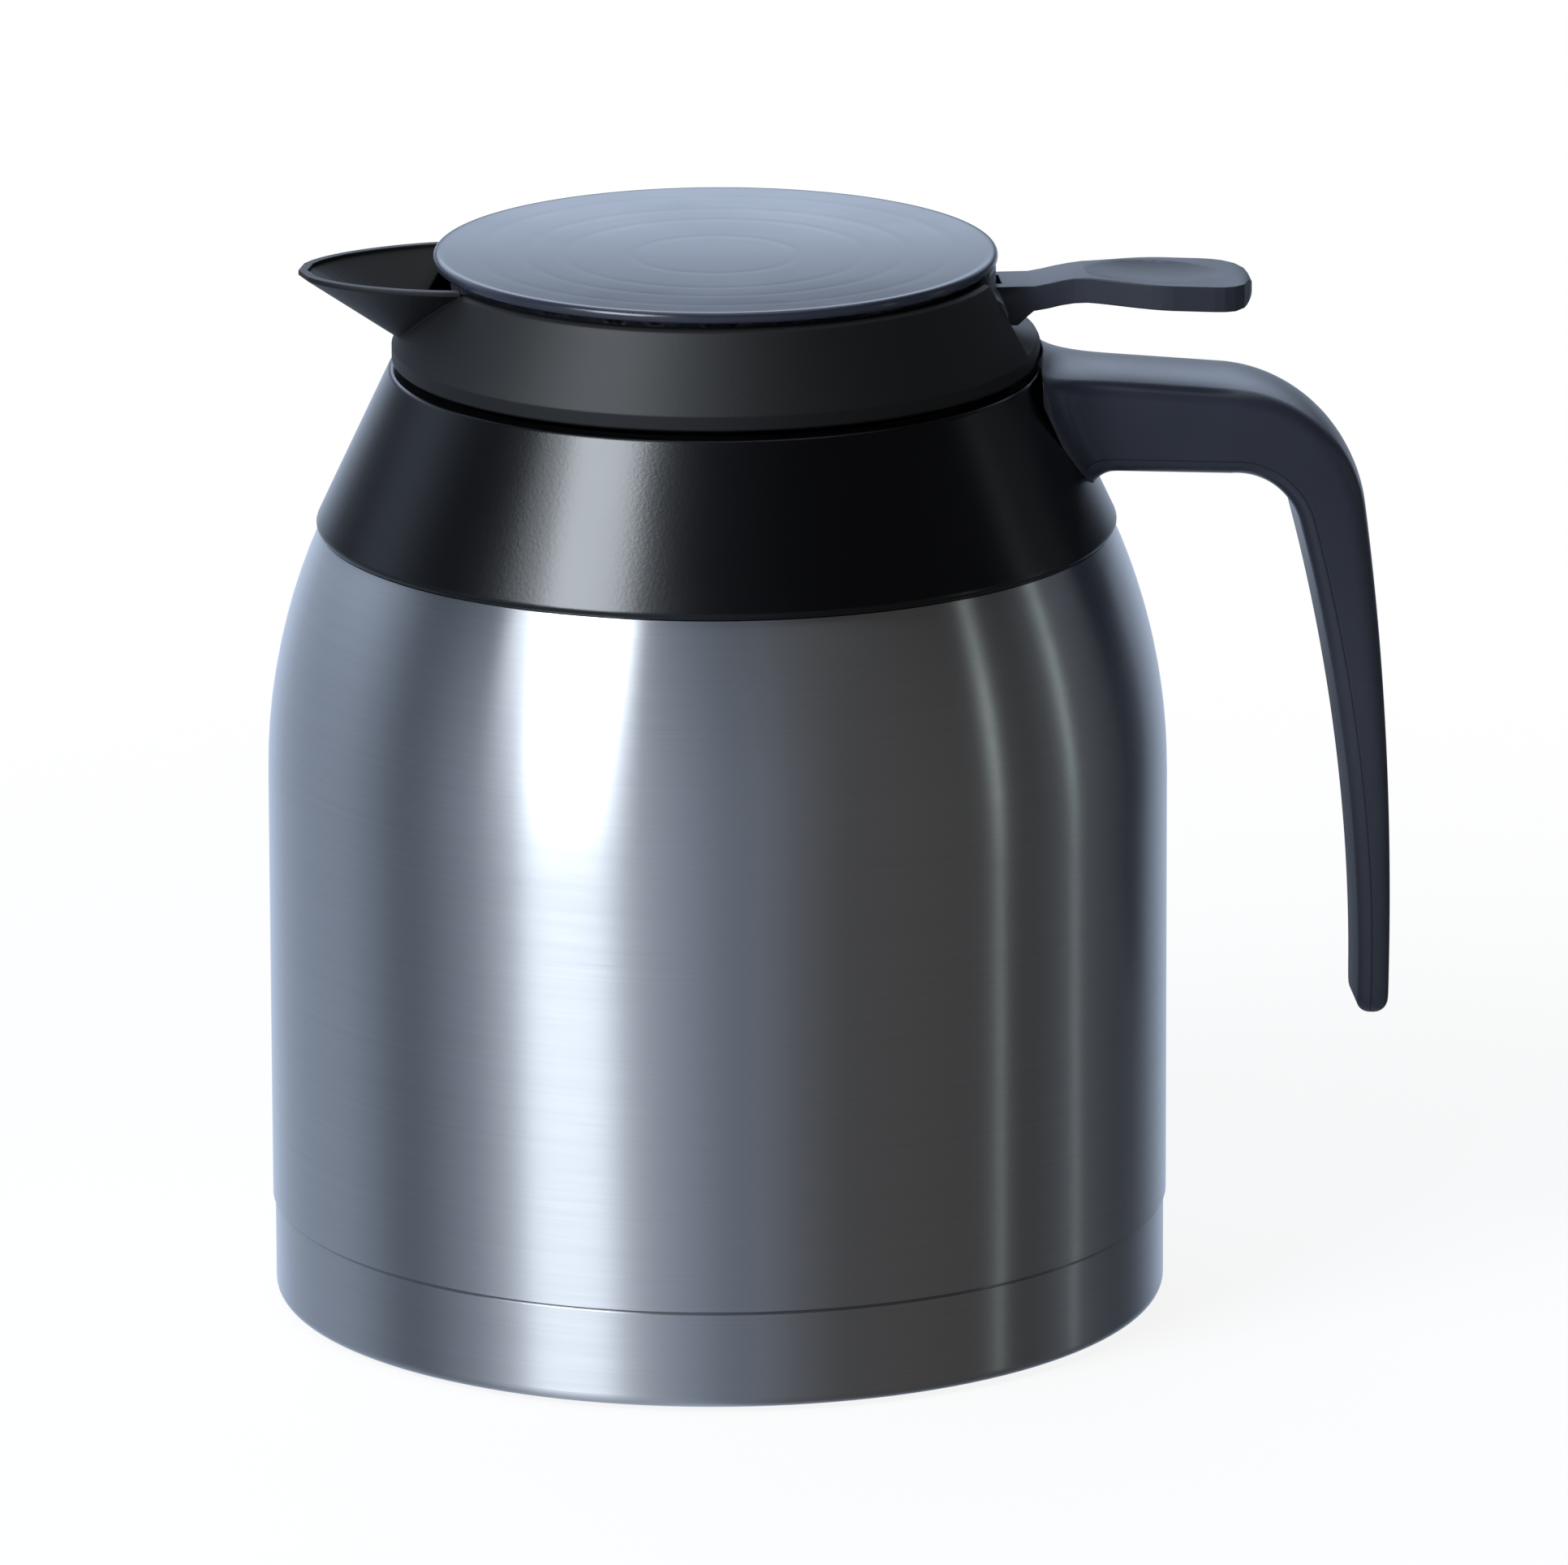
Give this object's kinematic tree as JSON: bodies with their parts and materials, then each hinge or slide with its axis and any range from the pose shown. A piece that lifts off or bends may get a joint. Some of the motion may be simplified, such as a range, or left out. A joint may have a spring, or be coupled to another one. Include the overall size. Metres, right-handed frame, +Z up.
{
  "type": "thermal carafe with flip lid",
  "caption": "Double-wall steel thermal carafe with a plastic shoulder, side handle, twist-off spout collar and a thumb-lever flip lid.",
  "frame": {"origin": "centre of the base on the surface the carafe stands on", "axes": "+Z up along the body's axis, +X towards the handle and thumb lever, -X towards the spout"},
  "size_m": [0.1742, 0.1394, 0.1661],
  "materials": {
    "brushed_steel": "brushed round the body",
    "flask_steel": "drawn and electropolished",
    "hard_steel": "ground wire and pins",
    "black_plastic": "fine grain, satin",
    "grey_plastic": "smooth satin",
    "inner_plastic": "smooth",
    "silicone": "translucent grey silicone",
    "rubber": "matt"
  },
  "bodies": {
    "jug": {"outer_shell": "brushed_steel", "inner_flask": "flask_steel", "vacuum_bottom": "flask_steel", "evacuation_cap": "inner_plastic", "base_cup": "brushed_steel", "base_pad": "rubber", "shoulder": "black_plastic", "shoulder_gasket": "silicone", "clamp_ring": "inner_plastic", "handle_shell": "grey_plastic", "handle_cover": "grey_plastic", "handle_screws": "hard_steel"},
    "collar": {"spout_collar": "black_plastic", "stopper_body": "inner_plastic", "mouth_seal": "silicone", "hinge_pin": "hard_steel", "lid_spring": "hard_steel"},
    "flip_lid": {"lid_cover": "grey_plastic", "lid_frame": "grey_plastic", "plug_cup": "inner_plastic", "plug_seal": "silicone"}
  },
  "joints": [
    {"name": "lid_turn", "type": "hinge", "parent": "jug", "child": "collar", "pos_m": [0, 0, 0.148], "axis": [0, 0, 1], "range_deg": [0, 60]},
    {"name": "lid_flip", "type": "hinge", "parent": "collar", "child": "flip_lid", "pos_m": [0.0405, 0, 0.158], "axis": [0, 1, 0], "range_deg": [0, 13], "stiffness_Nm_per_rad": 0.25, "springref_deg": -20.05, "deforming": ["lid_spring"]}
  ]
}
